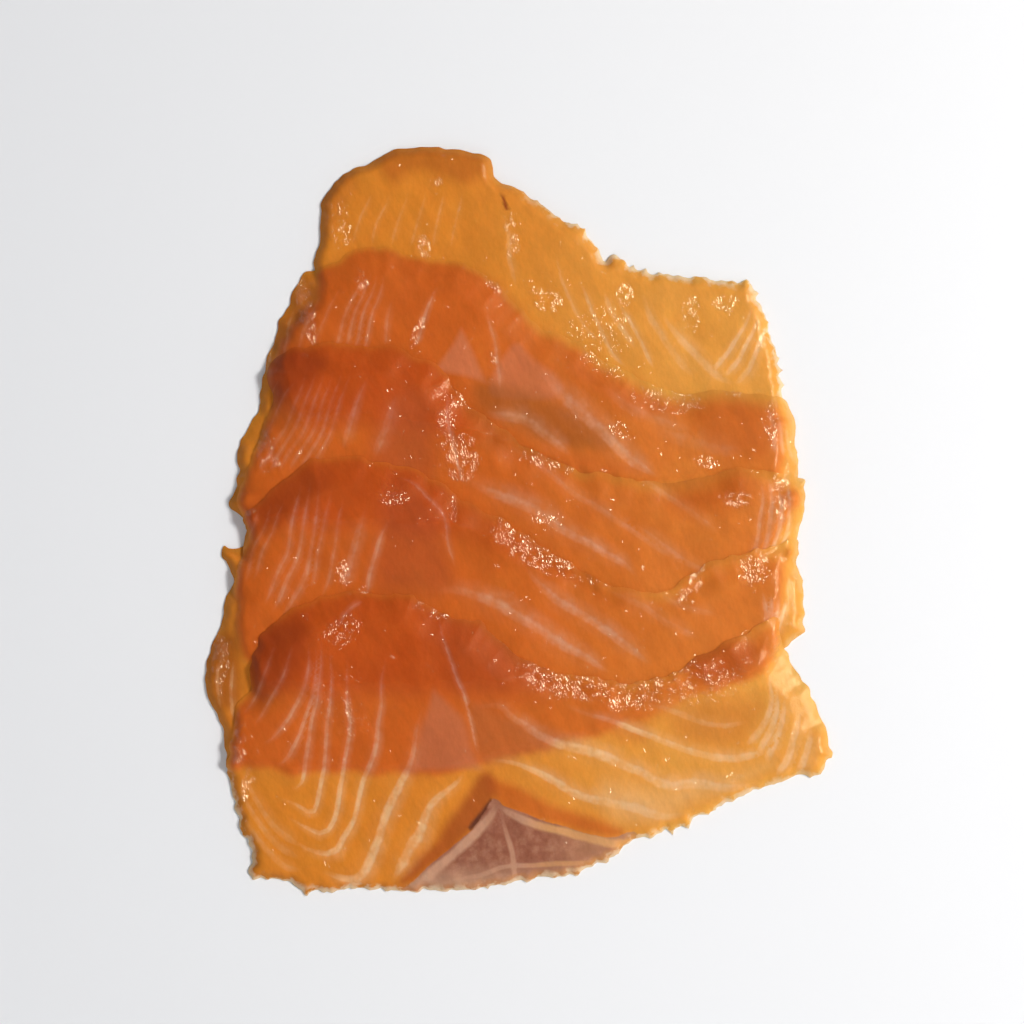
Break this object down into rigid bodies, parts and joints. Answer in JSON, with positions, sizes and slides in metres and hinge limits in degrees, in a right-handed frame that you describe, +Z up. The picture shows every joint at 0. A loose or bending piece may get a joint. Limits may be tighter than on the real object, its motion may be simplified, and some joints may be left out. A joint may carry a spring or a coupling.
{
  "type": "smoked salmon slices",
  "caption": "Thin slices of smoked salmon fillet, shingled one over the next as they come out of the pack, with feathered rims and a pale fat grain.",
  "frame": {"origin": "on the surface the slices lie on, under the middle of the stack's outline", "axes": "+Y from the nearest, uppermost slice to the furthest, lowest one; +X to the right seen from above; +Z up"},
  "size_m": [0.1506, 0.1794, 0.0072],
  "materials": {
    "salmon_flesh": "moist, oily orange flesh with pale bands of fat, slightly see-through at the rims"
  },
  "bodies": {
    "root": {"slice_1": "salmon_flesh", "slice_2": "salmon_flesh", "slice_3": "salmon_flesh", "slice_4": "salmon_flesh", "slice_5": "salmon_flesh"}
  },
  "joints": []
}
